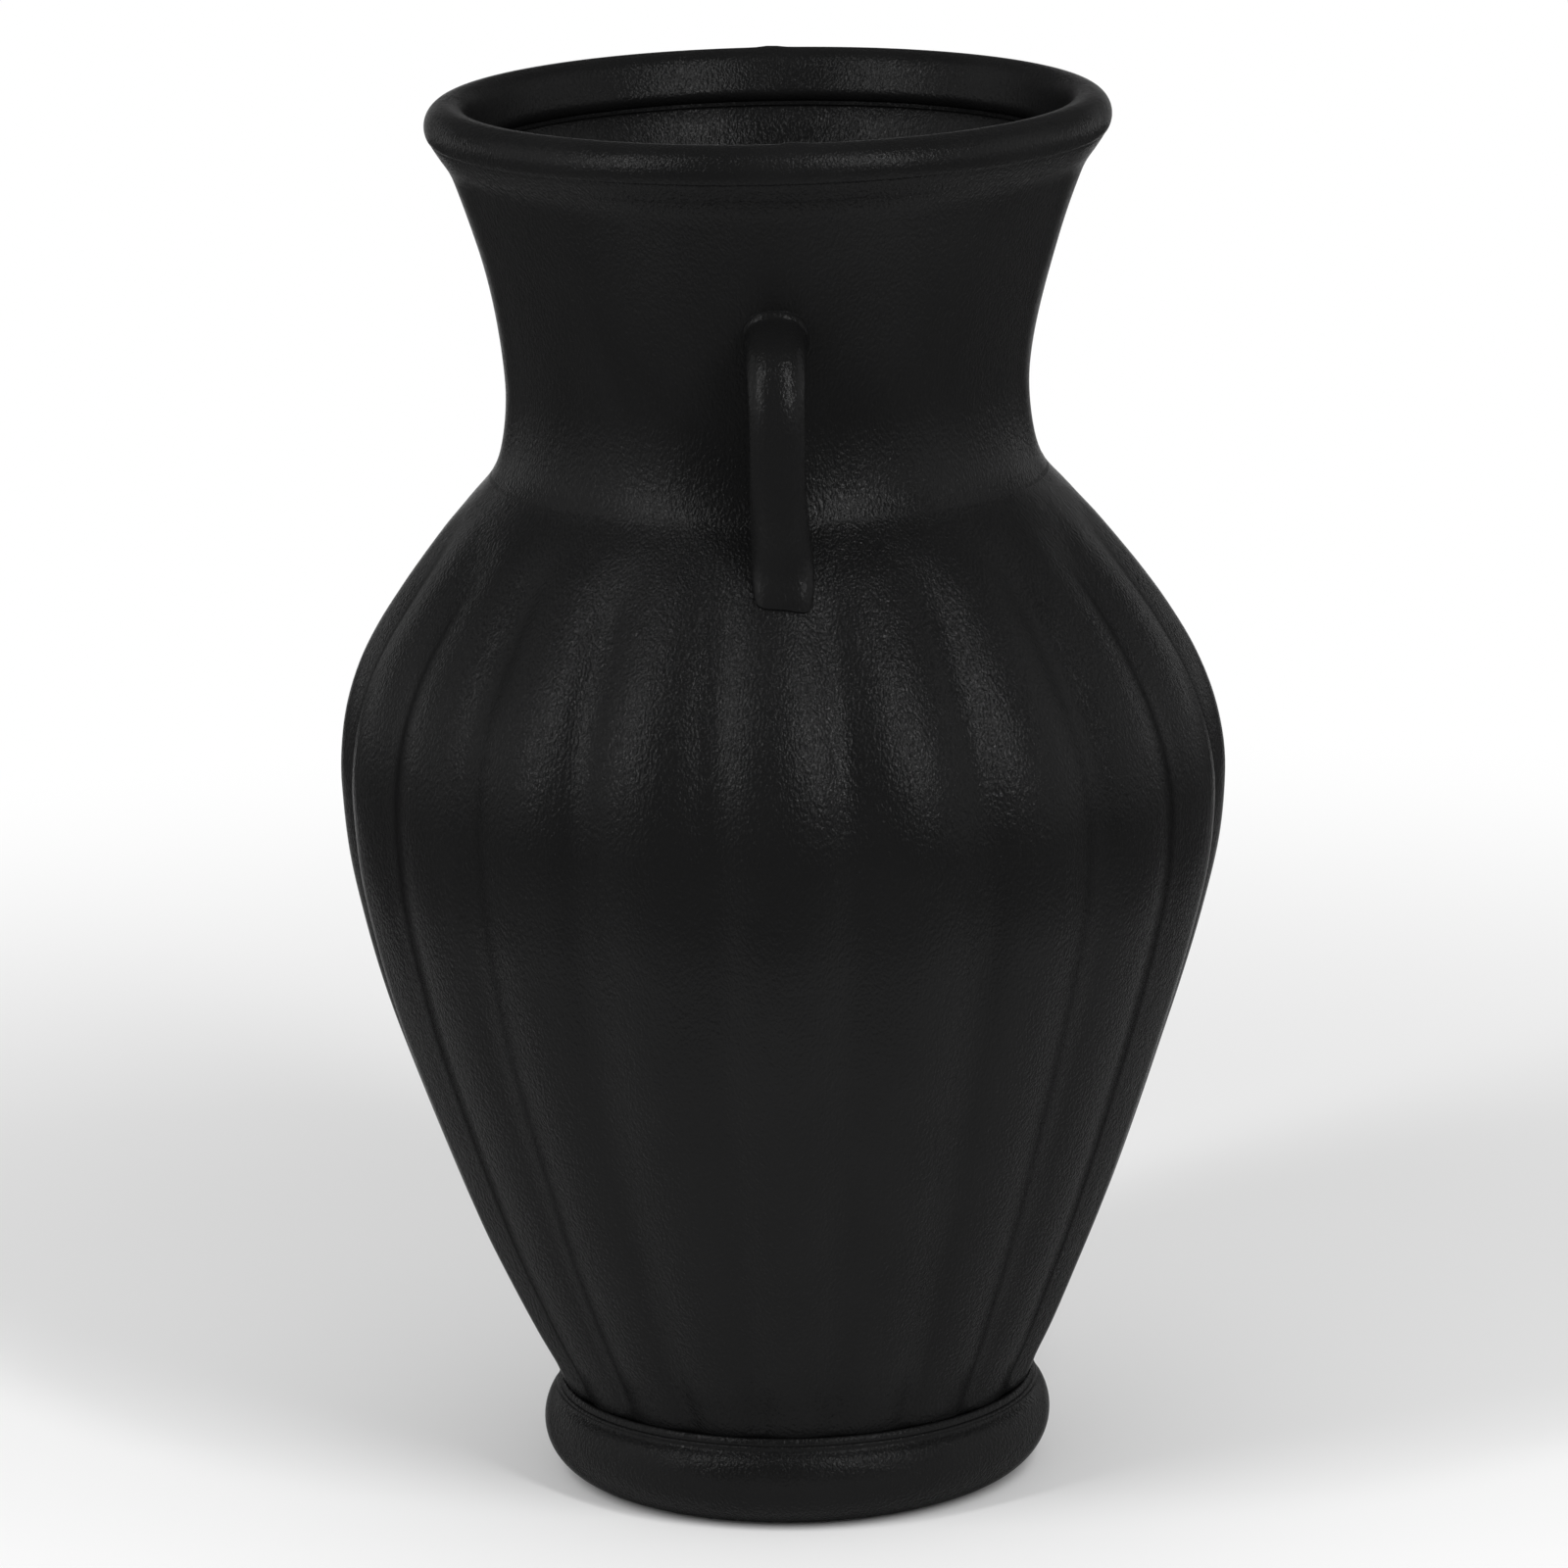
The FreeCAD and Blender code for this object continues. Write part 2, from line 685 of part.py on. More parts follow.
def strap_body(name, margin):
    """The whole strap, with both of its ends still running on into the wall."""
    body = doc.addObject("PartDesign::Body", name)
    body.Label = name
    sections = [
        oval_sketch(body, f"{name}_section_{place}", station, margin)
        for place, station in enumerate(handle_stations(), start=1)
    ]
    strap = body.newObject("PartDesign::AdditiveLoft", name + "_loft")
    strap.Profile = sections[0]
    strap.Sections = sections[1:]
    strap.Ruled = False
    body.Tip = strap
    return body


def neck_form_outline(cover):
    """The neck's outside as a solid core, grown outwards by a cover."""
    base = shoulder_radius + cover
    top = neck_top_radius + cover
    waist, throat, bend = neck_line(ZERO - cover)
    foot_bend = arc_from_upright(base - waist, size("neck_waist_rise"))
    return [
        ((ZERO, neck_base), None),
        ((base, neck_base), (foot_bend, -1)),
        ((waist, waist_height), (bend, -1)),
        (throat, (flare_bend(waist, throat, bend, (top, neck_top)), -1)),
        ((top, neck_top), None),
        ((ZERO, neck_top), None),
    ]


neck_core = turned_body("neck_core", neck_form_outline(ZERO))
neck_covered = turned_body("neck_covered", neck_form_outline(slip))
belly_covered = shaped_feature("belly_covered", lobed_form(float(slip)))
front_strap = strap_body("front_strap", ZERO)
strap_off_neck = boolean_cut("strap_off_neck", front_strap, neck_covered)
handle_front = boolean_cut("handle_front", strap_off_neck, belly_covered)
handle_back = mirrored_to_back("handle_back", handle_front)

# Slip under each end of a handle, wiped out into a thin collar round the strap
front_collar = strap_body("front_collar", size("slip_collar_width"))
upper_layer = boolean_common("upper_layer", front_collar, neck_covered)
handle_front_upper_slip = boolean_cut("handle_front_upper_slip", upper_layer, neck_core)
lower_layer = boolean_common("lower_layer", front_collar, belly_covered)
handle_front_lower_slip = boolean_cut("handle_front_lower_slip", lower_layer, belly_form)
handle_back_upper_slip = mirrored_to_back("handle_back_upper_slip", handle_front_upper_slip)
handle_back_lower_slip = mirrored_to_back("handle_back_lower_slip", handle_front_lower_slip)

PIECES = (
    foot_ring,
    foot_joint_slip,
    belly,
    neck_joint_slip,
    neck_collar,
    rim_joint_slip,
    rim_ring,
    handle_front,
    handle_front_upper_slip,
    handle_front_lower_slip,
    handle_back,
    handle_back_upper_slip,
    handle_back_lower_slip,
)


def check_document():
    """Stop unless every step of the model worked and each piece is one sound solid."""
    for item in doc.Objects:
        if "Invalid" in item.State or "Error" in item.State:
            raise RuntimeError(f"{item.Label} could not be made")
    for piece in PIECES:
        shape = piece.Shape
        if shape.isNull() or not shape.isValid():
            raise RuntimeError(f"{piece.Label} is not a sound shape")
        if len(shape.Solids) != 1:
            raise RuntimeError(f"{piece.Label} is not a single solid")
        print(f"{piece.Label}: {shape.Volume:.0f} mm3")


def export_pieces():
    os.makedirs("parts", exist_ok=True)
    for piece in PIECES:
        piece.Shape.exportStep(f"parts/{piece.Label}.step")


doc.recompute()
check_document()
export_pieces()
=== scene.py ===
import math
import bpy
from mathutils import Matrix, Vector, noise


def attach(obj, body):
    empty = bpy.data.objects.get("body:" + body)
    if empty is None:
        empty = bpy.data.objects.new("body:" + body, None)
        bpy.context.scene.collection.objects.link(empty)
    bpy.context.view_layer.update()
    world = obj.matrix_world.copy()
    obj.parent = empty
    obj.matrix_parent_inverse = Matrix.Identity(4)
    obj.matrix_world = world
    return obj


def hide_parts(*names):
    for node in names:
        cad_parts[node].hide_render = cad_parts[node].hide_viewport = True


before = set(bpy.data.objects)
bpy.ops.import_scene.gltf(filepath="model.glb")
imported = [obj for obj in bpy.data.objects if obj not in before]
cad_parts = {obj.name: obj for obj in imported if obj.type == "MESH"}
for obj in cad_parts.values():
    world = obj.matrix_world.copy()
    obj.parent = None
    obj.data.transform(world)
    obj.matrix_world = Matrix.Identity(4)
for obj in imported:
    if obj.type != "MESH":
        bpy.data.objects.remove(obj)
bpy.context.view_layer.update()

# Foot ring
# Stoneware turned on the wheel: a fat roll with a fine ridge above it and a flat
# resting ring below, which is wiped bare of glaze so that it can't stick in the kiln.
MM = 0.001
WELD = MM / 1000
SPIN_STEPS = 192


def arc_line(centre, radius, start, end, count):
    """Points of an arc in millimetres, with its angles in degrees from the outward side."""
    turns = [math.radians(start + (end - start) * step / count) for step in range(count + 1)]
    return [(centre[0] + radius * math.cos(t), centre[1] + radius * math.sin(t)) for t in turns]


def turned_clay(name, outline, steps=SPIN_STEPS):
    """A closed outline of (reach, height) in millimetres, drawn corner by corner and spun."""
    bpy.ops.object.select_all(action="DESELECT")
    reach, height = outline[0]
    bpy.ops.mesh.primitive_plane_add(size=MM, location=(reach * MM, 0, height * MM))
    piece = bpy.context.object
    piece.name = name
    bpy.ops.object.transform_apply(location=True, rotation=True, scale=True)
    bpy.ops.object.mode_set(mode="EDIT")
    bpy.ops.mesh.select_mode(type="VERT")
    bpy.ops.mesh.select_all(action="SELECT")
    bpy.ops.mesh.merge(type="CENTER")
    corners = list(outline) + [outline[0]]
    for (reach, height), (next_reach, next_height) in zip(corners, corners[1:]):
        step = ((next_reach - reach) * MM, 0, (next_height - height) * MM)
        bpy.ops.mesh.extrude_region_move(TRANSFORM_OT_translate={"value": step})
    bpy.ops.mesh.select_all(action="SELECT")
    bpy.ops.mesh.remove_doubles(threshold=WELD)
    bpy.ops.mesh.spin(steps=steps, angle=math.tau, center=(0, 0, 0), axis=(0, 0, 1))
    bpy.ops.mesh.select_all(action="SELECT")
    bpy.ops.mesh.remove_doubles(threshold=WELD)
    bpy.ops.mesh.normals_make_consistent(inside=False)
    bpy.ops.object.mode_set(mode="OBJECT")
    return piece


HAND_WAVE = 34 * MM
HAND_DEPTH = 0.22 * MM
# Sideways lean of the turned clay, in millimetres: height, shift
LEAN = (
    (0, -0.06), (20, 0.2), (60, -0.5), (100, -0.75), (150, 0.0), (190, -1.25),
    (220, -1.8), (240, -1.75), (270, -0.95), (300, -0.45),
)


def lean_at(height):
    """Sideways shift at a height, eased between the heights of the table."""
    for (low, start), (high, end) in zip(LEAN, LEAN[1:]):
        if height <= high:
            share = min(max((height - low) / (high - low), 0), 1)
            return start + (end - start) * share * share * (3 - 2 * share)
    return LEAN[-1][1]


def uneven_by_hand(piece):
    """Press the clay in over slow waves and lean it a little, the same for all pieces at a place."""
    for vertex in piece.data.vertices:
        wave = 0.5 + 0.5 * noise.noise(vertex.co / HAND_WAVE)
        outward = Vector((vertex.co.x, vertex.co.y, 0))
        if outward.length > MM:
            vertex.co -= outward.normalized() * HAND_DEPTH * wave
        vertex.co.x += lean_at(vertex.co.z / MM) * MM


def soft_shading(piece, degrees):
    """Shade a piece smooth, but for edges sharper than an angle."""
    bpy.ops.object.select_all(action="DESELECT")
    piece.select_set(True)
    bpy.context.view_layer.objects.active = piece
    bpy.ops.object.shade_smooth_by_angle(angle=math.radians(degrees))


# Marks of the glaze to a metre: slow patches, pools and specks of dust
PATCHES, POOLS, SPECKS = 38.0, 150.0, 75.0
PEBBLE_ROUNDNESS = 0.35
# Shares of the glaze's height: pebbles, the crinkle over them, and pools
PEBBLE_SHARE, CRINKLE_SHARE, POOL_SHARE = 0.5, 0.9, 0.7
# How much the patches and the pebbles' tops change the roughness, and the tone of patches
PATCH_ROUGHNESS, TOP_POLISH, TOP_HEIGHT = 0.22, -0.16, 0.8
DARKEST_PATCH, PATCH_RANGE = 0.72, 0.56
SPECK_SIZE, SPECK_CHANCE = 0.035, 0.12
DUST_COLOUR = (0.09, 0.085, 0.08, 1)


def make_glaze_group():
    """Matte glaze that crawled into pebbles: its colour, roughness and height."""
    group = bpy.data.node_groups.new("pebbled glaze", "ShaderNodeTree")
    face = group.interface
    sockets = (
        ("Vector", "NodeSocketVector", None),
        ("Base", "NodeSocketColor", (0.01, 0.01, 0.01, 1)),
        ("Pebbles", "NodeSocketFloat", 1000.0),
        ("Roughness", "NodeSocketFloat", 0.45),
        ("Dust", "NodeSocketFloat", 0.5),
    )
    for label, kind, start in sockets:
        socket = face.new_socket(name=label, in_out="INPUT", socket_type=kind)
        if start is not None:
            socket.default_value = start
    face.new_socket(name="Color", in_out="OUTPUT", socket_type="NodeSocketColor")
    for label in ("Roughness", "Height"):
        face.new_socket(name=label, in_out="OUTPUT", socket_type="NodeSocketFloat")
    nodes, links = group.nodes, group.links
    given = nodes.new("NodeGroupInput")
    result = nodes.new("NodeGroupOutput")

    def math_node(operation, first, second, clamp=False):
        node = nodes.new("ShaderNodeMath")
        node.operation = operation
        node.use_clamp = clamp
        for socket, value in zip(node.inputs, (first, second)):
            if isinstance(value, (int, float)):
                socket.default_value = value
            else:
                links.new(value, socket)
        return node.outputs[0]

    def noise_node(scale, detail, distortion):
        node = nodes.new("ShaderNodeTexNoise")
        node.inputs["Detail"].default_value = detail
        node.inputs["Roughness"].default_value = 0.6
        node.inputs["Distortion"].default_value = distortion
        if isinstance(scale, (int, float)):
            node.inputs["Scale"].default_value = scale
        else:
            links.new(scale, node.inputs["Scale"])
        links.new(given.outputs["Vector"], node.inputs["Vector"])
        return node.outputs["Fac"]

    crinkle = noise_node(given.outputs["Pebbles"], 2.0, 0.7)
    pebble = nodes.new("ShaderNodeTexVoronoi")
    pebble.feature = "SMOOTH_F1"
    pebble.inputs["Smoothness"].default_value = PEBBLE_ROUNDNESS
    links.new(given.outputs["Vector"], pebble.inputs["Vector"])
    links.new(given.outputs["Pebbles"], pebble.inputs["Scale"])
    cloud = noise_node(PATCHES, 2.0, 0.3)
    pooling = noise_node(POOLS, 3.0, 0.2)
    rounded = math_node("SUBTRACT", 1.0, pebble.outputs["Distance"])
    tops = math_node("MULTIPLY", rounded, PEBBLE_SHARE)
    grain = math_node("ADD", tops, math_node("MULTIPLY", crinkle, CRINKLE_SHARE))
    swell = math_node("MULTIPLY", pooling, POOL_SHARE)
    links.new(math_node("ADD", grain, swell), result.inputs["Height"])

    # Tops of the pebbles are a little smoother, and the glaze pools in slow patches
    patch = math_node("MULTIPLY", math_node("SUBTRACT", cloud, 0.5), PATCH_ROUGHNESS)
    polish = math_node("MULTIPLY", math_node("SUBTRACT", grain, TOP_HEIGHT), TOP_POLISH)
    uneven = math_node("ADD", math_node("ADD", given.outputs["Roughness"], patch), polish, clamp=True)
    links.new(uneven, result.inputs["Roughness"])

    # Colour: slow patches, and a few pale specks of dust fired into the glaze
    specks = nodes.new("ShaderNodeTexVoronoi")
    specks.inputs["Scale"].default_value = SPECKS
    links.new(given.outputs["Vector"], specks.inputs["Vector"])
    near = math_node("LESS_THAN", specks.outputs["Distance"], SPECK_SIZE)
    rare = math_node("LESS_THAN", specks.outputs["Color"], SPECK_CHANCE)
    speck = math_node("MULTIPLY", math_node("MULTIPLY", near, rare), given.outputs["Dust"])
    shade = math_node("ADD", DARKEST_PATCH, math_node("MULTIPLY", cloud, PATCH_RANGE))
    tint = nodes.new("ShaderNodeVectorMath")
    tint.operation = "SCALE"
    links.new(given.outputs["Base"], tint.inputs[0])
    links.new(shade, tint.inputs["Scale"])
    mix = nodes.new("ShaderNodeMix")
    mix.data_type = "RGBA"
    links.new(speck, mix.inputs["Factor"])
    links.new(tint.outputs["Vector"], mix.inputs["A"])
    mix.inputs["B"].default_value = DUST_COLOUR
    links.new(mix.outputs["Result"], result.inputs["Color"])
    return group


GLAZE_GROUP = make_glaze_group()
GLAZE_BLACK = (0.0066, 0.0066, 0.0067, 1)
GLAZE_SHINE, LOW_ANGLE_SHINE = 0.08, 0.002
SHINE_FADE = (0.12, 0.8)


def glazed(name, pebbles, roughness, grain_depth, stretch=1.0, dust=0.5, low_shine=LOW_ANGLE_SHINE):
    """Black glaze for one piece: pebbles to a metre, their depth in mm and how drawn out they are."""
    material = bpy.data.materials.new(name)
    material.use_nodes = True
    nodes, links = material.node_tree.nodes, material.node_tree.links
    shader = nodes["Principled BSDF"]
    place = nodes.new("ShaderNodeTexCoord")
    drawn = nodes.new("ShaderNodeMapping")
    drawn.inputs["Scale"].default_value = (1, 1, stretch)
    glaze = nodes.new("ShaderNodeGroup")
    glaze.name = "glaze"
    glaze.node_tree = GLAZE_GROUP
    glaze.inputs["Base"].default_value = GLAZE_BLACK
    glaze.inputs["Pebbles"].default_value = pebbles
    glaze.inputs["Roughness"].default_value = roughness
    glaze.inputs["Dust"].default_value = dust
    relief = nodes.new("ShaderNodeBump")
    relief.inputs["Strength"].default_value = 1.0
    relief.inputs["Distance"].default_value = grain_depth * MM
    links.new(place.outputs["Object"], drawn.inputs["Vector"])
    links.new(drawn.outputs["Vector"], glaze.inputs["Vector"])
    links.new(glaze.outputs["Height"], relief.inputs["Height"])
    links.new(glaze.outputs["Color"], shader.inputs["Base Color"])
    links.new(glaze.outputs["Roughness"], shader.inputs["Roughness"])
    links.new(relief.outputs["Normal"], shader.inputs["Normal"])
    # At a low angle the pebbles hide each other, so the sheen fades there
    facing = nodes.new("ShaderNodeLayerWeight")
    shine = nodes.new("ShaderNodeMapRange")
    shine.interpolation_type = "SMOOTHSTEP"
    shine.inputs["From Min"].default_value, shine.inputs["From Max"].default_value = SHINE_FADE
    shine.inputs["To Min"].default_value = GLAZE_SHINE
    shine.inputs["To Max"].default_value = low_shine
    links.new(facing.outputs["Facing"], shine.inputs["Value"])
    links.new(shine.outputs["Result"], shader.inputs["Specular IOR Level"])
    return material


def finish_piece(piece, material, nodes, degrees=50):
    """Shade a piece smooth, give it its material and its place on the jar, and hide the model's parts
    that it stands for.
    """
    soft_shading(piece, degrees)
    piece.data.materials.clear()
    piece.data.materials.append(material)
    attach(piece, "root")
    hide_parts(*nodes)


FOOT_ROLL_CENTRE = (44.3, 10.9)
FOOT_ROLL = 10.85
FOOT_OUTLINE = (
    [(40.8, 19.0), (41.1, 14.0), (41.5, 6.0), (41.9, 1.0), (42.2, 0.25), (42.8, 0.0), (45.4, 0.0)]
    + arc_line(FOOT_ROLL_CENTRE, FOOT_ROLL, -77, 29, 25)
    + [(53.3, 16.75), (52.75, 17.2), (52.4, 17.55), (52.25, 17.9), (52.3, 18.2), (52.38, 18.45)]
    + [(52.3, 18.7), (52.1, 18.88), (51.8, 18.97), (51.4, 19.0), (45.0, 19.0)]
)
foot = turned_clay("foot_roll", FOOT_OUTLINE)
uneven_by_hand(foot)


BARE_HEIGHT = 0.22
BARE_EDGE_WAVES, GROG_GRAINS = 140, 900
DRY_ROUGHNESS = 0.9
FOOT_CLAY, DARK_CLAY = (0.42, 0.36, 0.29, 1), (0.3024, 0.2592, 0.2088, 1)


def bare_ring(material):
    """Wipe the glaze off the resting face, with an uneven edge."""
    nodes, links = material.node_tree.nodes, material.node_tree.links
    place = nodes.new("ShaderNodeTexCoord")
    split = nodes.new("ShaderNodeSeparateXYZ")
    links.new(place.outputs["Object"], split.inputs["Vector"])
    wander = nodes.new("ShaderNodeTexNoise")
    wander.inputs["Scale"].default_value = BARE_EDGE_WAVES
    links.new(place.outputs["Object"], wander.inputs["Vector"])
    edge = nodes.new("ShaderNodeMath")
    edge.operation = "MULTIPLY_ADD"
    edge.inputs[1].default_value = BARE_HEIGHT * MM
    edge.inputs[2].default_value = BARE_HEIGHT * MM / 4
    links.new(wander.outputs["Fac"], edge.inputs[0])
    below = nodes.new("ShaderNodeMath")
    below.operation = "LESS_THAN"
    links.new(split.outputs["Z"], below.inputs[0])
    links.new(edge.outputs[0], below.inputs[1])
    grog = nodes.new("ShaderNodeTexNoise")
    grog.inputs["Scale"].default_value = GROG_GRAINS
    grog.inputs["Detail"].default_value = 4
    links.new(place.outputs["Object"], grog.inputs["Vector"])
    body = nodes.new("ShaderNodeValToRGB")
    body.color_ramp.elements[0].color = DARK_CLAY
    body.color_ramp.elements[1].color = FOOT_CLAY
    links.new(grog.outputs["Fac"], body.inputs["Fac"])
    glaze, shader = nodes["glaze"], nodes["Principled BSDF"]
    colour = nodes.new("ShaderNodeMix")
    colour.data_type = "RGBA"
    links.new(below.outputs[0], colour.inputs["Factor"])
    links.new(glaze.outputs["Color"], colour.inputs["A"])
    links.new(body.outputs["Color"], colour.inputs["B"])
    links.new(colour.outputs["Result"], shader.inputs["Base Color"])
    dry = nodes.new("ShaderNodeMath")
    dry.operation = "MAXIMUM"
    links.new(glaze.outputs["Roughness"], dry.inputs[0])
    dull = nodes.new("ShaderNodeMath")
    dull.operation = "MULTIPLY"
    dull.inputs[1].default_value = DRY_ROUGHNESS
    links.new(below.outputs[0], dull.inputs[0])
    links.new(dull.outputs[0], dry.inputs[1])
    links.new(dry.outputs[0], shader.inputs["Roughness"])


foot_glaze = glazed("foot black glaze", pebbles=1600, roughness=0.18, grain_depth=0.175, stretch=0.8)
bare_ring(foot_glaze)
finish_piece(foot, foot_glaze, ["foot_ring"])

# Bead of slip between foot and belly
# Creamy clay squeezed out when the pot was set on its foot, sponged round and fired
# with them under the same glaze.
FOOT_BEAD_OUTLINE = [
    (41.0, 19.0), (51.9, 19.0), (51.93, 19.25), (51.84, 19.6), (51.68, 19.95), (51.48, 20.25),
    (51.25, 20.42), (50.95, 20.38), (50.5, 20.1), (50.1, 19.8), (41.0, 19.8),
]
BEAD_SPIN_STEPS = 160
foot_bead = turned_clay("foot_joint_bead", FOOT_BEAD_OUTLINE, BEAD_SPIN_STEPS)
uneven_by_hand(foot_bead)
bead_glaze = glazed(
    "bead black glaze", pebbles=1450, roughness=0.25, grain_depth=0.18, stretch=0.8, dust=0.2
)
finish_piece(foot_bead, bead_glaze, ["foot_joint_slip"])

# Belly
# One moulded pot with its own floor. Its wall is 20 upright lobes that run from
# rounded toes at the foot to low arches under the neck, with narrow valleys between.
LOBES = 20
LOBE_DEPTH = 3.3
WIDEST = 94.75
VALLEY_FILLET = 0.25
TOP_FILLET = 0.45
FILLET_CHANGE = 190
CREST_LINE = (
    (19.8, 50.2, 0.35),
    (20.3, 50.85, 0.5),
    (21.1, 51.45, 0.7),
    (22.6, 52.25, 0.85),
    (24.3, 53.0, 0.95),
    (26.6, 53.95, 1.0),
    (34.45, 57.9, 1.0),
    (46.44, 63.3, 1.0),
    (59.76, 69.0, 1.0),
    (75.74, 75.0, 1.0),
    (91.73, 80.6, 1.0),
    (107.71, 85.85, 1.0),
    (123.7, 90.27, 1.0),
    (138.35, 93.45, 1.0),
    (153.0, 94.75, 1.0),
    (160.98, 94.4, 1.0),
    (170.29, 92.6, 1.0),
    (179.6, 89.2, 1.0),
    (188.25, 84.45, 1.0),
    (196.23, 79.05, 0.98),
    (202.88, 74.05, 0.88),
    (208.86, 69.25, 0.62),
    (211.4, 66.95, 0.4),
    (213.52, 64.95, 0.2),
    (215.4, 63.15, 0.07),
    (216.84, 61.75, 0.02),
    (217.8, 60.87, 0.0),
    (218.4, 60.35, 0.0),
    (219.0, 59.87, 0.0),
    (219.5, 59.5, 0.0),
)
INNER_LINE = (
    (219.5, 54.0, 0.0),
    (214.0, 58.0, 0.0),
    (205.0, 64.8, 0.0),
    (192.0, 73.2, 0.1),
    (176.0, 82.3, 0.25),
    (163.0, 86.2, 0.3),
    (153.0, 86.9, 0.3),
    (140.0, 85.7, 0.3),
    (110.0, 78.6, 0.3),
    (78.0, 68.2, 0.3),
    (49.0, 57.0, 0.2),
    (33.0, 49.6, 0.0),
    (28.0, 46.0, 0.0),
    (26.0, 42.4, 0.0),
)
ACROSS = (0.0, 0.15, 0.3, 0.43, 0.54, 0.63, 0.7, 0.76, 0.81, 0.86, 0.905, 0.95, 1.0)


def eased_line(points, spacing):
    """A smooth line through rows of numbers, with rows about a spacing apart."""
    rows = []
    for place in range(len(points) - 1):
        before = points[max(place - 1, 0)]
        start, end = points[place], points[place + 1]
        after = points[min(place + 2, len(points) - 1)]
        run = math.dist(start[:2], end[:2])
        count = max(1, round(run / spacing))
        first = max(math.dist(start[:2], before[:2]), run / 4) if before is not start else run
        last = max(math.dist(after[:2], end[:2]), run / 4) if after is not end else run
        for step in range(count):
            t = step / count
            row = []
            for b, s, e, a in zip(before, start, end, after):
                leave = (e - b) / (run + first) * run if before is not start else e - s
                arrive = (a - s) / (run + last) * run if after is not end else e - s
                row.append(
                    s * (1 + 2 * t) * (1 - t) ** 2
                    + leave * t * (1 - t) ** 2
                    + e * t * t * (3 - 2 * t)
                    + arrive * t * t * (t - 1)
                )
            rows.append(tuple(row))
    rows.append(points[-1])
    return rows


def lobe_reach(crest, depth, across, fillet):
    """Reach of a lobe's surface at a share of the way from its crest to its valley."""
    half_pitch = math.pi / LOBES
    valley = crest - depth
    half_chord = valley * math.sin(half_pitch)
    bulge = crest - valley * math.cos(half_pitch)
    bend = (half_chord**2 + bulge**2) / (2 * bulge)

    def on_arc(share):
        turn = half_pitch * share
        centre = crest - bend
        return centre * math.cos(turn) + math.sqrt(bend**2 - (centre * math.sin(turn)) ** 2)

    join = 1 - fillet
    if across <= join:
        return on_arc(across)
    slope = (on_arc(join) - on_arc(join - 0.001)) / 0.001
    beyond = across - join
    return on_arc(join) + slope * (beyond - beyond**2 / (2 * fillet))


OUTSIDE_STEP, INSIDE_STEP = 1.9, 5.0
BELLY_BASE, POT_FLOOR = 19.8, 25.8
outside_rows = eased_line(CREST_LINE, OUTSIDE_STEP)
inside_rows = eased_line(INNER_LINE, INSIDE_STEP)
underside_rows = [(BELLY_BASE, reach, 0.0) for reach in (0.0, 20.0, 40.0)] + [(BELLY_BASE, 49.1, 0.3)]
floor_rows = [(POT_FLOOR, reach, 0.0) for reach in (40.0, 20.0, 0.0)]
belly_rows = underside_rows + outside_rows + inside_rows + floor_rows
columns = [-share for share in reversed(ACROSS)] + list(ACROSS[1:])

bpy.ops.object.select_all(action="DESELECT")
bpy.ops.mesh.primitive_grid_add(
    x_subdivisions=len(columns) - 1, y_subdivisions=len(belly_rows) - 1, size=1
)
belly = bpy.context.object
belly.name = "belly_pot"
for vertex in belly.data.vertices:
    column = round((vertex.co.x + 0.5) * (len(columns) - 1))
    row = round((vertex.co.y + 0.5) * (len(belly_rows) - 1))
    height, crest, share = belly_rows[row]
    depth = LOBE_DEPTH * share * crest / WIDEST
    fillet = VALLEY_FILLET + TOP_FILLET * max(0.0, 1 - share) * (height > FILLET_CHANGE)
    reach = lobe_reach(crest, depth, abs(columns[column]), fillet) if crest > 0 else 0
    turn = columns[column] * math.pi / LOBES - math.pi / 2
    vertex.co = (reach * math.cos(turn) * MM, reach * math.sin(turn) * MM, height * MM)
bpy.ops.object.mode_set(mode="EDIT")
bpy.ops.mesh.select_mode(type="VERT")
bpy.ops.mesh.select_all(action="SELECT")
for lobe in range(1, LOBES):
    bpy.ops.mesh.duplicate()
    bpy.ops.transform.rotate(value=math.tau / LOBES, orient_axis="Z", center_override=(0, 0, 0))
bpy.ops.mesh.select_all(action="SELECT")
bpy.ops.mesh.remove_doubles(threshold=5 * WELD)
bpy.ops.mesh.normals_make_consistent(inside=False)
bpy.ops.object.mode_set(mode="OBJECT")
uneven_by_hand(belly)
belly_glaze = glazed(
    "belly black glaze", pebbles=1650, roughness=0.16, grain_depth=0.185, stretch=0.6, dust=0.8
)
finish_piece(belly, belly_glaze, ["belly"])

# Slip between shoulder and neck
# A band of clay slip bedded in the step of the mouth. Only its thin outer edge shows,
# sponged flush in the corner where the neck rises from the shoulder.
NECK_SLIP_OUTLINE = [
    (53.9, 219.5), (59.5, 219.5), (59.29, 219.8), (59.1, 220.1), (58.99, 220.3), (53.9, 220.3),
]
neck_slip = turned_clay("neck_joint_band", NECK_SLIP_OUTLINE)
uneven_by_hand(neck_slip)
finish_piece(neck_slip, bead_glaze, ["neck_joint_slip"])

# Neck
# A thrown collar, set on the shoulder and flared like a trumpet: narrowest a little
# above the shoulder, with a plain wall that thins towards the rim.
NECK_WAIST = (55.55, 238.0)
NECK_SPAN = (220.3, 288.0)
NECK_WALL, THICKEST_WALL, WALL_THINNING = 4.6, 1.1, 0.08
# Above the waist: the flare over a rise, its power, and the quicker flare below the rim
FLARE, FLARE_RISE, FLARE_POWER = 12.47, 50, 1.62
LAST_FLARE, FLARE_START = 0.045, 284
# Below the waist: the drop to the shoulder, and the spread there, slow and then quick
WAIST_DROP, SLOW_SPREAD, QUICK_SPREAD = 17.7, 2.6, 0.84


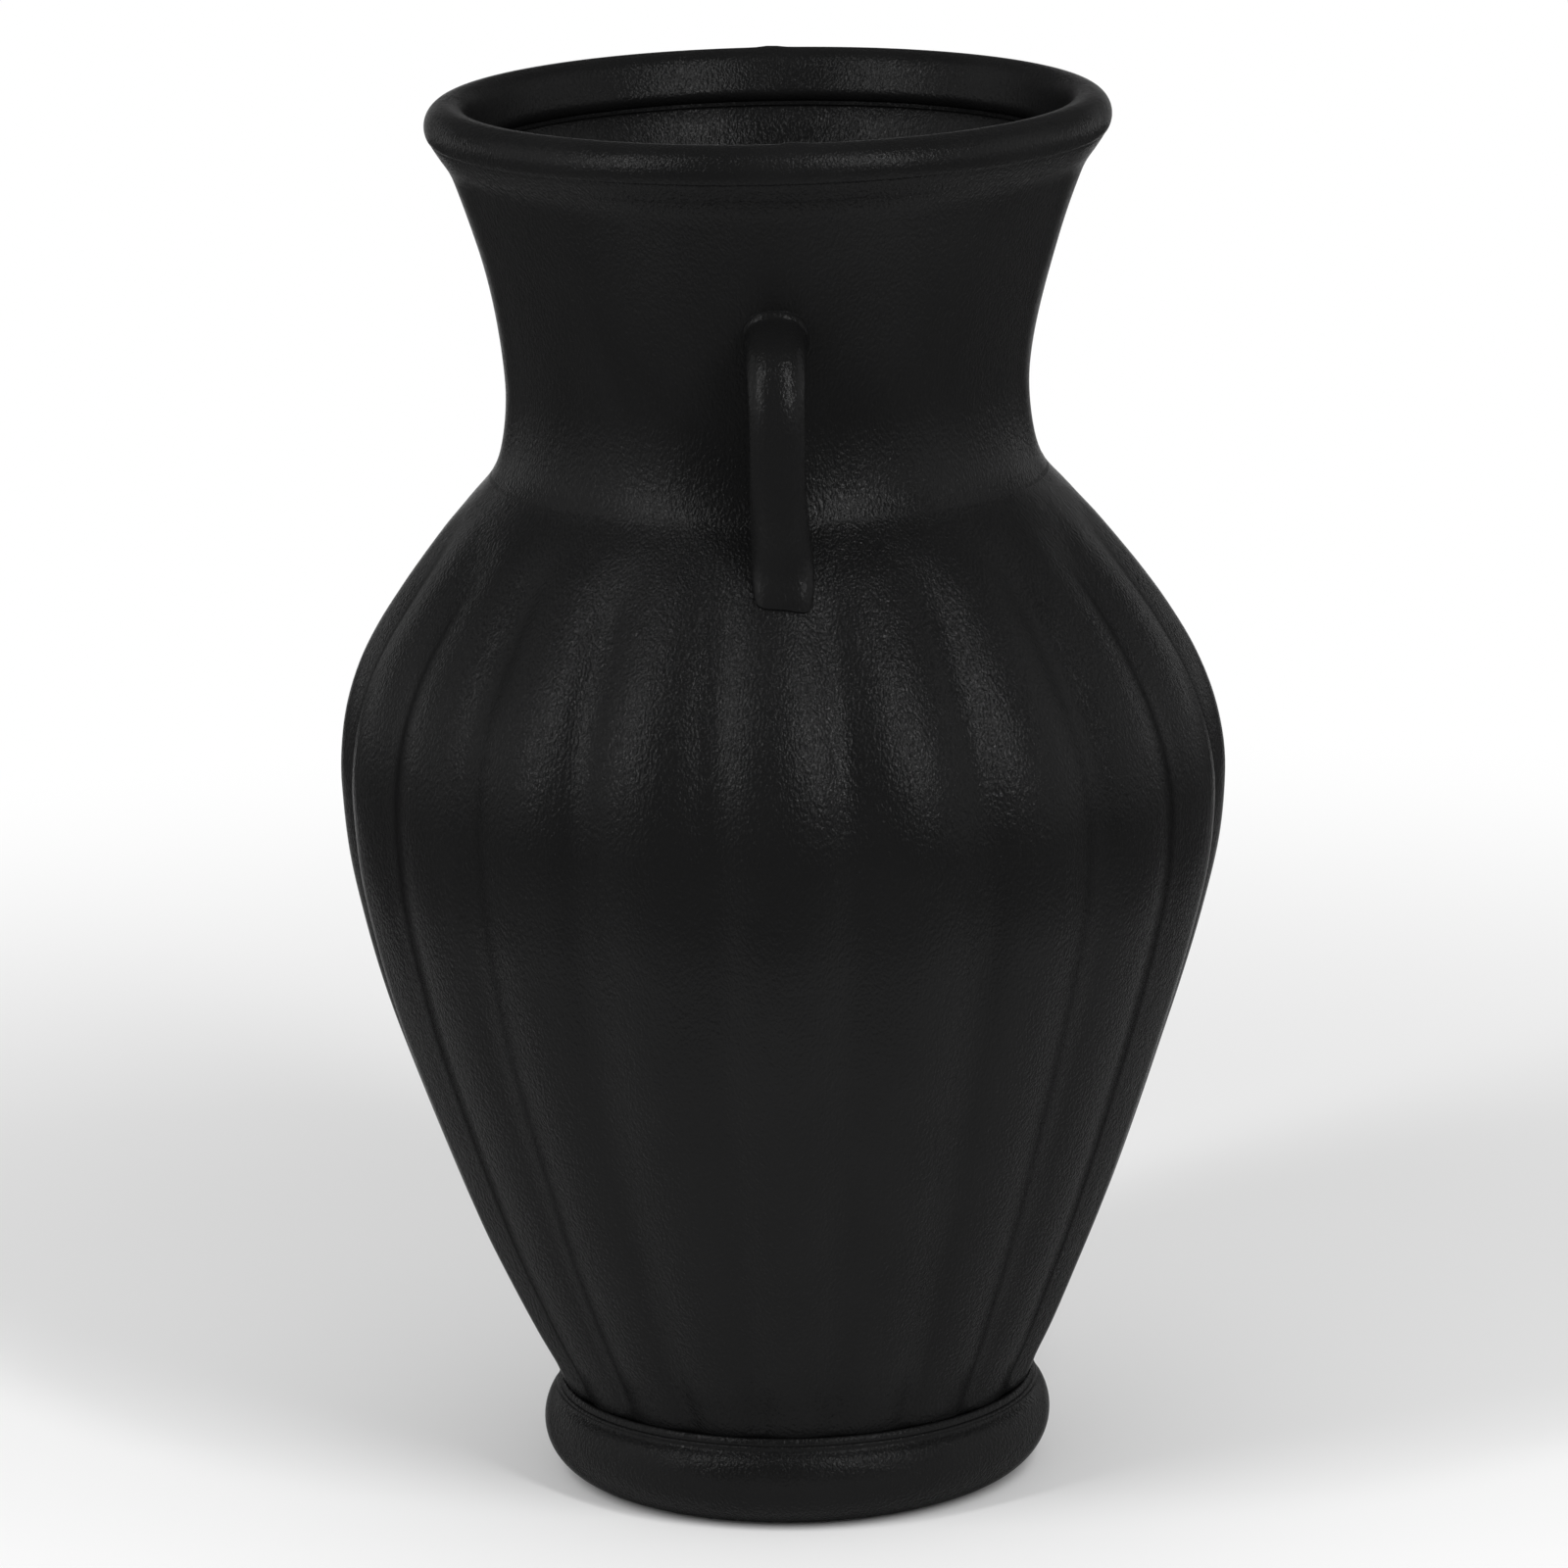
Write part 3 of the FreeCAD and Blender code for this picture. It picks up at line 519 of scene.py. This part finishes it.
def neck_reach(height):
    """Reach of the neck's outside at a height, in millimetres."""
    reach, waist = NECK_WAIST
    if height > waist:
        last = max(0.0, height - FLARE_START)
        return reach + FLARE * ((height - waist) / FLARE_RISE) ** FLARE_POWER + LAST_FLARE * last**2
    drop = (waist - height) / WAIST_DROP
    return reach + SLOW_SPREAD * drop**2 + QUICK_SPREAD * drop**8


NECK_ROWS = 42
neck_outside, neck_inside = [], []
for row in range(NECK_ROWS + 1):
    height = NECK_SPAN[0] + (NECK_SPAN[1] - NECK_SPAN[0]) * row / NECK_ROWS
    wall = NECK_WALL * (THICKEST_WALL - WALL_THINNING * row / NECK_ROWS)
    neck_outside.append((neck_reach(height), height))
    neck_inside.append((neck_reach(height) - wall, height))
neck = turned_clay("neck_wall", neck_outside + neck_inside[::-1])
uneven_by_hand(neck)
neck_glaze = glazed(
    "neck black glaze", pebbles=1650, roughness=0.18, grain_depth=0.165, stretch=0.6, dust=0.6
)
finish_piece(neck, neck_glaze, ["neck_collar"])

# Slip between neck and rim
# A thin layer of clay slip over the neck's tongue, sponged flush outside and in.
RIM_SLIP_OUTLINE = [(63.1, 288.0), (68.74, 288.0), (69.04, 288.4), (69.34, 288.8), (63.1, 288.8)]
rim_slip = turned_clay("rim_joint_band", RIM_SLIP_OUTLINE)
uneven_by_hand(rim_slip)
finish_piece(rim_slip, bead_glaze, ["rim_joint_slip"])

# Rim
# A rolled bead on a short collar, with a lip that slopes in over the neck. Two small
# lumps on the bead, front and back, are left from the two halves of its mould.
RIM_ROLL_CENTRE = (67.5, 295.0)
RIM_ROLL = 4.95
RIM_OUTLINE = (
    [(69.34, 288.8), (69.7, 289.35), (70.1, 289.95), (70.55, 290.65), (71.0, 291.35), (71.3, 291.9)]
    + [(71.42, 292.2), (71.62, 292.3)]
    + arc_line(RIM_ROLL_CENTRE, RIM_ROLL, -30, 118, 32)
    + [(64.4, 298.6), (63.8, 297.7), (63.3, 296.4), (62.7, 294.7), (62.1, 292.9)]
    + [(61.75, 291.9), (61.6, 291.2), (61.7, 290.6), (62.0, 290.0), (62.5, 289.4), (63.1, 288.8)]
)
rim = turned_clay("rim_bead", RIM_OUTLINE)
# Lumps of the mould's seam: centre, width and height
SEAM_LUMPS = (((5.2, -67.0, 299.2), 2.2, 0.5), ((0.9, 67.0, 299.2), 2.4, 0.45))
for centre, width, height in SEAM_LUMPS:
    middle = Vector(centre) * MM
    for vertex in rim.data.vertices:
        away = (vertex.co - middle).length / (width * MM)
        vertex.co.z += height * MM * math.exp(-away * away)
uneven_by_hand(rim)
rim_glaze = glazed("rim black glaze", pebbles=1600, roughness=0.2, grain_depth=0.155, stretch=0.9)
finish_piece(rim, rim_glaze, ["rim_ring"])

# Handles
# Pulled straps with an oval section, bent from the neck down to the shoulder. Each is
# spread a little where it was pressed on, and the two are alike, front and back.
STRAP_CORNERS = 40
STRAP_POWER = 2.35
# Stations down the strap: side, reach, height, turn in degrees, width and thickness
STRAP_RUN = (
    (0.1, 59.0, 258.1, 14, 14.3, 13.2),
    (0.1, 59.2, 258.08, 14, 13.7, 12.0),
    (0.1, 59.5, 258.03, 14, 13.3, 11.1),
    (0.1, 59.95, 257.95, 14, 13.0, 10.45),
    (0.1, 60.8, 257.8, 15, 12.85, 9.95),
    (0.1, 62.3, 257.4, 19, 12.75, 9.65),
    (0.1, 64.6, 256.6, 31, 12.6, 9.4),
    (0.1, 67.2, 254.95, 45, 12.4, 9.2),
    (0.1, 69.4, 252.6, 59, 12.2, 9.1),
    (0.1, 71.0, 249.8, 71, 11.9, 9.0),
    (0.1, 71.9, 245.8, 83, 11.7, 9.0),
    (0.1, 72.0, 241.0, 91, 11.6, 9.0),
    (0.05, 71.6, 236.0, 95, 11.6, 9.0),
    (0.0, 70.9, 231.0, 97, 11.6, 9.0),
    (0.05, 70.1, 226.5, 99, 11.7, 9.0),
    (0.2, 69.2, 222.5, 100, 11.9, 9.0),
    (0.4, 68.3, 219.0, 101, 12.2, 9.0),
    (0.55, 67.7, 216.4, 107, 12.5, 9.1),
    (0.65, 67.6, 214.2, 117, 12.7, 9.6),
    (0.7, 67.9, 212.3, 127, 12.8, 10.7),
    (0.7, 68.3, 211.0, 132, 12.8, 11.9),
    (0.7, 68.5, 210.3, 133, 12.3, 11.9),
)
END_POWERS = (2.6, 3.0, 3.5, 3.8)
ROOT_GAP, STRAP_GAP = 0.05, 0.8
PAST_STRAP = 12 * MM
OUT_OF_NECK, ONTO_SHOULDER = Vector((0, 1, 0)), Vector((0, 0, -1))


def squarish(wide, thick, power):
    """Reach of a squared-off circle of radius 1 in a direction."""
    span = math.hypot(wide, thick)
    return ((abs(wide) / span) ** power + (abs(thick) / span) ** power) ** (-1 / power)


def pulled_strap(name, run):
    """A squared-off oval drawn out along stations, as in STRAP_RUN."""
    bpy.ops.object.select_all(action="DESELECT")
    side, reach, height, turn, width, thickness = run[0]
    here = Vector((side, -reach, height)) * MM
    bpy.ops.mesh.primitive_circle_add(
        vertices=STRAP_CORNERS,
        radius=0.5 * MM,
        fill_type="TRIFAN",
        location=here,
        rotation=(math.pi / 2, 0, 0),
    )
    strap = bpy.context.object
    strap.name = name
    bpy.ops.object.transform_apply(location=True, rotation=True, scale=True)
    for vertex in strap.data.vertices:
        spoke = vertex.co - here
        if spoke.length > 0:
            vertex.co = here + spoke * squarish(spoke.x, spoke.z, STRAP_POWER)
    bpy.ops.object.mode_set(mode="EDIT")
    bpy.ops.mesh.select_mode(type="FACE")
    bpy.ops.mesh.select_all(action="SELECT")
    bpy.ops.transform.resize(value=(width, thickness, thickness), center_override=here)
    bpy.ops.transform.rotate(value=-math.radians(turn), orient_axis="X", center_override=here)
    for next_side, next_reach, next_height, next_turn, next_width, next_thickness in run[1:]:
        there = Vector((next_side, -next_reach, next_height)) * MM
        bpy.ops.mesh.extrude_region_move(TRANSFORM_OT_translate={"value": there - here})
        bend = -math.radians(next_turn - turn)
        bpy.ops.transform.rotate(value=bend, orient_axis="X", center_override=there)
        swell = next_thickness / thickness
        bpy.ops.transform.resize(value=(next_width / width, swell, swell), center_override=there)
        here, turn, width, thickness = there, next_turn, next_width, next_thickness
    bpy.ops.mesh.select_all(action="SELECT")
    bpy.ops.mesh.normals_make_consistent(inside=False)
    bpy.ops.object.mode_set(mode="OBJECT")
    return strap


def ring_at(strap, station):
    """The vertices that lie in a station's plane."""
    side, reach, height, turn, width, thickness = station
    centre = Vector((side, -reach, height)) * MM
    along = Vector((0, -math.cos(math.radians(turn)), -math.sin(math.radians(turn))))
    near = [v for v in strap.data.vertices if abs((v.co - centre).dot(along)) < WELD]
    return [v for v in near if (v.co - centre).length < PAST_STRAP]


def rest_on(vertices, carrier, way, stand):
    """Move vertices along a way until they stand off what carries them."""
    for vertex in vertices:
        struck, place, normal, index = carrier.ray_cast(vertex.co - way * PAST_STRAP, way)
        if struck:
            vertex.co = place - way * stand * MM


def turned_to_back(piece):
    """Turn a piece half round the jar, from the front to the back."""
    bpy.ops.object.select_all(action="DESELECT")
    piece.select_set(True)
    bpy.context.view_layer.objects.active = piece
    bpy.ops.object.mode_set(mode="EDIT")
    bpy.ops.mesh.select_all(action="SELECT")
    bpy.ops.transform.rotate(value=math.pi, orient_axis="Z", center_override=(0, 0, 0))
    bpy.ops.object.mode_set(mode="OBJECT")


def square_off(strap, station, power):
    """Fill out the corners of the strap's section at a station."""
    side, reach, height, turn, width, thickness = station
    centre = Vector((side, -reach, height)) * MM
    across = Vector((0, -math.sin(math.radians(turn)), math.cos(math.radians(turn))))
    for vertex in ring_at(strap, station):
        spoke = vertex.co - centre
        wide, thick = spoke.x / width, spoke.dot(across) / thickness
        span = math.hypot(wide, thick)
        if span > 0:
            vertex.co = centre + spoke * (0.5 * MM * squarish(wide, thick, power) / span)


def strap_on_jar(name, node, at_back):
    """A handle, with its root on the neck and its lower end on the shoulder."""
    strap = pulled_strap(name, STRAP_RUN)
    for station, power in zip(STRAP_RUN[-len(END_POWERS):], END_POWERS):
        square_off(strap, station, power)
    rings = [[v.index for v in ring_at(strap, station)] for station in (STRAP_RUN[0], STRAP_RUN[-1])]
    out_of_neck = OUT_OF_NECK.copy()
    if at_back:
        turned_to_back(strap)
        out_of_neck.negate()
    root, lower_end = ([strap.data.vertices[corner] for corner in ring] for ring in rings)
    rest_on(root, neck, out_of_neck, ROOT_GAP)
    rest_on(lower_end, belly, ONTO_SHOULDER, STRAP_GAP)
    finish_piece(strap, handle_glaze, [node])


handle_glaze = glazed(
    "handle black glaze",
    pebbles=1500,
    roughness=0.22,
    grain_depth=0.125,
    stretch=0.5,
    dust=0.4,
    low_shine=0.02,
)
strap_on_jar("front_handle", "handle_front", False)
strap_on_jar("back_handle", "handle_back", True)

# Slip under the handles
# Clay slip that each strap was pressed into: smoothed to a small fillet round the root,
# and shrunk back under the lower end, where it leaves an open dark line.
PAD_STEP = 1.0
# Rings of a pad: margin round the strap's end, and height over what carries it
ROOT_PAD = ((0.1, 0.01), (0.05, 0.04), (0.0, 0.06), (-0.4, 0.08))
FOOT_PAD = ((0.1, 0.02), (0.0, 0.35), (-0.1, STRAP_GAP))
FOOT_PAD_BACK = 1.0


def slip_pad(name, node, rings, end, way, carrier, at_back):
    """An oval pad under an end of a strap; rings of it stand at heights over the carrier."""
    side, reach, height, turn, width, thickness = end
    flat = 0 if way is OUT_OF_NECK else 90
    if way is ONTO_SHOULDER:
        reach -= FOOT_PAD_BACK
    tilt = math.cos(math.radians(turn - flat))
    run = []
    for place, (margin, stand) in enumerate(rings):
        away = way * PAD_STEP * place
        tall = thickness * tilt + 2 * margin
        run.append((side, reach + away.y, height - away.z, flat, width + 2 * margin, tall))
    pad = pulled_strap(name, run)
    towards = way.copy()
    if at_back:
        turned_to_back(pad)
        towards.y = -towards.y
    for vertex in pad.data.vertices:
        if way is ONTO_SHOULDER:
            place = (vertex.co.z / MM - height) / PAD_STEP
        else:
            place = (abs(vertex.co.y) / MM - reach) / PAD_STEP
        rest_on([vertex], carrier, towards, rings[round(place)][1])
    finish_piece(pad, bead_glaze, [node])


for side, at_back in (("front", False), ("back", True)):
    root_node, lower_node = "handle_" + side + "_upper_slip", "handle_" + side + "_lower_slip"
    slip_pad(side + "_root_slip", root_node, ROOT_PAD, STRAP_RUN[0], OUT_OF_NECK, neck, at_back)
    slip_pad(side + "_foot_slip", lower_node, FOOT_PAD, STRAP_RUN[-1], ONTO_SHOULDER, belly, at_back)

# Stage: a plain pale floor, which fades to the white of the room away from the jar
FLOOR_SIZE = 12.0
FLOOR_COLOUR, FLOOR_ROUGHNESS = (0.9, 0.9, 0.9, 1), 0.9
FADE_START, FADE_END = 0.22, 0.7
bpy.ops.object.select_all(action="DESELECT")
bpy.ops.mesh.primitive_plane_add(size=FLOOR_SIZE, location=(0, 0, 0))
floor = bpy.context.object
floor.name = "floor"
floor_paint = bpy.data.materials.new("floor paint")
floor_paint.use_nodes = True
paint_nodes, paint_links = floor_paint.node_tree.nodes, floor_paint.node_tree.links
floor_shader = paint_nodes["Principled BSDF"]
floor_shader.inputs["Base Color"].default_value = FLOOR_COLOUR
floor_shader.inputs["Roughness"].default_value = FLOOR_ROUGHNESS
floor_shader.inputs["Specular IOR Level"].default_value = 0.0


def white_ray_mask(nodes, links):
    """1 for camera, glossy and transmission rays, which see the white room."""
    path = nodes.new("ShaderNodeLightPath")
    mask = path.outputs["Is Camera Ray"]
    for label in ("Is Glossy Ray", "Is Transmission Ray"):
        widest = nodes.new("ShaderNodeMath")
        widest.operation = "MAXIMUM"
        links.new(mask, widest.inputs[0])
        links.new(path.outputs[label], widest.inputs[1])
        mask = widest.outputs[0]
    return mask


floor_place = paint_nodes.new("ShaderNodeTexCoord")
from_jar = paint_nodes.new("ShaderNodeVectorMath")
from_jar.operation = "LENGTH"
paint_links.new(floor_place.outputs["Object"], from_jar.inputs[0])
fade = paint_nodes.new("ShaderNodeMapRange")
fade.interpolation_type = "SMOOTHSTEP"
fade.inputs["From Min"].default_value = FADE_START
fade.inputs["From Max"].default_value = FADE_END
paint_links.new(from_jar.outputs["Value"], fade.inputs["Value"])
share_of_white = paint_nodes.new("ShaderNodeMath")
share_of_white.operation = "MULTIPLY"
paint_links.new(fade.outputs["Result"], share_of_white.inputs[0])
paint_links.new(white_ray_mask(paint_nodes, paint_links), share_of_white.inputs[1])
white_room = paint_nodes.new("ShaderNodeEmission")
blend = paint_nodes.new("ShaderNodeMixShader")
paint_links.new(share_of_white.outputs[0], blend.inputs["Fac"])
paint_links.new(floor_shader.outputs["BSDF"], blend.inputs[1])
paint_links.new(white_room.outputs["Emission"], blend.inputs[2])
paint_links.new(blend.outputs["Shader"], paint_nodes["Material Output"].inputs["Surface"])
floor.data.materials.append(floor_paint)

# Black studio felt, seen only in reflections
# It keeps the middle of the belly and the sides of the neck dark: on the floor in front
# and at both sides, and hung in front, overhead and behind.
FELT_NEAR, FELT_FAR, FELT_SIDE = -0.24, -3.0, 3.0
FELT_FLOOR, FELT_ROOF = 0.003, 2.6
FRONT_WIDTH, ROOF_FRONT, ROOF_BACK = 1.6, -0.35, 1.6
SIDE_INNER, SIDE_BACK, BACK_FOOT = 0.3, 1.5, 0.5
# Tone of the felt at shares of the way from its near edge to its far one
FELT_TONES = ((0.0, 0.3), (0.14, 0.03), (0.45, 0.03), (1.0, 0.25))
FELT_ROUGHNESS = 0.95
# Each sheet: left, right, and the reach and height of its first and second edge
FELT_SHEETS = (
    (-FRONT_WIDTH, FRONT_WIDTH, (FELT_FAR, FELT_FLOOR), (FELT_NEAR, FELT_FLOOR)),
    (SIDE_INNER, FELT_SIDE, (FELT_NEAR, FELT_FLOOR), (SIDE_BACK, FELT_FLOOR)),
    (-FELT_SIDE, -SIDE_INNER, (FELT_NEAR, FELT_FLOOR), (SIDE_BACK, FELT_FLOOR)),
    (-FELT_SIDE, FELT_SIDE, (FELT_FAR, FELT_FLOOR), (ROOF_FRONT, FELT_ROOF)),
    (-FELT_SIDE, FELT_SIDE, (ROOF_FRONT, FELT_ROOF), (ROOF_BACK, FELT_ROOF)),
    (-FELT_SIDE, FELT_SIDE, (ROOF_BACK, BACK_FOOT), (ROOF_BACK, FELT_ROOF)),
)
felt_paint = bpy.data.materials.new("black felt")
felt_paint.use_nodes = True
felt_nodes, felt_links = felt_paint.node_tree.nodes, felt_paint.node_tree.links
felt_place = felt_nodes.new("ShaderNodeTexCoord")
felt_axes = felt_nodes.new("ShaderNodeSeparateXYZ")
felt_links.new(felt_place.outputs["Object"], felt_axes.inputs["Vector"])
felt_reach = felt_nodes.new("ShaderNodeMapRange")
felt_reach.inputs["From Min"].default_value = FELT_NEAR
felt_reach.inputs["From Max"].default_value = FELT_FAR
felt_links.new(felt_axes.outputs["Y"], felt_reach.inputs["Value"])
felt_tone = felt_nodes.new("ShaderNodeValToRGB")
for place, tone in FELT_TONES[1:-1]:
    felt_tone.color_ramp.elements.new(place)
for stop, (place, tone) in zip(felt_tone.color_ramp.elements, FELT_TONES):
    stop.position = place
    stop.color = (tone, tone, tone, 1)
felt_links.new(felt_reach.outputs["Result"], felt_tone.inputs["Fac"])
felt_shader = felt_nodes["Principled BSDF"]
felt_links.new(felt_tone.outputs["Color"], felt_shader.inputs["Base Color"])
felt_shader.inputs["Roughness"].default_value = FELT_ROUGHNESS
for number, (left, right, first, second) in enumerate(FELT_SHEETS, start=1):
    bpy.ops.object.select_all(action="DESELECT")
    bpy.ops.mesh.primitive_plane_add(size=1)
    felt = bpy.context.object
    felt.name = "black_felt_" + str(number)
    corners = ((left, *first), (right, *first), (left, *second), (right, *second))
    for vertex, corner in zip(felt.data.vertices, corners):
        vertex.co = corner
    felt.data.materials.append(felt_paint)
    felt.visible_camera = False
    felt.visible_diffuse = False
    felt.visible_shadow = False
    felt.visible_transmission = False

# Light
# A pale room, white to the camera and in reflections, and two tall soft boxes in front,
# left and right.
ROOM_LIGHT = 0.6
world = bpy.data.worlds.new("pale room")
bpy.context.scene.world = world
world.use_nodes = True
world_nodes, world_links = world.node_tree.nodes, world.node_tree.links
backdrop = world_nodes["Background"]
backdrop.inputs["Color"].default_value = (1, 1, 1, 1)
room = world_nodes.new("ShaderNodeMapRange")
room.inputs["To Min"].default_value = ROOM_LIGHT
room.inputs["To Max"].default_value = 1.0
world_links.new(white_ray_mask(world_nodes, world_links), room.inputs["Value"])
world_links.new(room.outputs["Result"], backdrop.inputs["Strength"])

# Each soft box: name, azimuth, elevation, distance, width, height and watts
SOFT_BOXES = (
    ("left soft box", -50, 34, 0.95, 0.1, 0.8, 4.0),
    ("right soft box", 34, 34, 0.95, 0.1, 0.8, 5.1),
)
AIM = Vector((0, 0, 0.17))
for name, azimuth, elevation, distance, width, height, power in SOFT_BOXES:
    lamp_data = bpy.data.lights.new(name, "AREA")
    lamp_data.shape = "RECTANGLE"
    lamp_data.size = width
    lamp_data.size_y = height
    lamp_data.energy = power
    lamp = bpy.data.objects.new(name, lamp_data)
    bpy.context.scene.collection.objects.link(lamp)
    a, e = math.radians(azimuth), math.radians(elevation)
    away = Vector((math.sin(a) * math.cos(e), -math.cos(a) * math.cos(e), math.sin(e)))
    lamp.location = AIM + away * distance
    lamp.rotation_mode = "QUATERNION"
    lamp.rotation_quaternion = away.to_track_quat("Z", "Y")

# Camera
# At the photograph's place: a little above the rim, and rolled a little.
CAMERA_PLACE = (-0.00025, -1.7, 0.5596)
CAMERA_PITCH = 13.5183
CAMERA_ROLL = 1.1746
CAMERA_YAW = 0.0092
CAMERA_FOCAL_PIXELS = 8325.5
FRAME_PIXELS = 1600
SENSOR_WIDTH = 36
CLIP_START, CLIP_END = 0.05, 50
camera_data = bpy.data.cameras.new("camera")
camera_data.sensor_width = SENSOR_WIDTH
camera_data.lens = CAMERA_FOCAL_PIXELS / FRAME_PIXELS * SENSOR_WIDTH
camera_data.clip_start = CLIP_START
camera_data.clip_end = CLIP_END
camera = bpy.data.objects.new("camera", camera_data)
bpy.context.scene.collection.objects.link(camera)
pitch, roll, yaw = (math.radians(v) for v in (CAMERA_PITCH, CAMERA_ROLL, CAMERA_YAW))
forward = Vector((math.sin(yaw) * math.cos(pitch), math.cos(yaw) * math.cos(pitch), -math.sin(pitch)))
level = Vector((math.cos(yaw), -math.sin(yaw), 0))
downward = forward.cross(level)
side = level * math.cos(roll) + downward * math.sin(roll)
below = downward * math.cos(roll) - level * math.sin(roll)
turn = Matrix((side, -below, -forward)).transposed()
camera.matrix_world = Matrix.Translation(CAMERA_PLACE) @ turn.to_4x4()
bpy.context.scene.camera = camera
bpy.context.scene.view_settings.view_transform = "Standard"
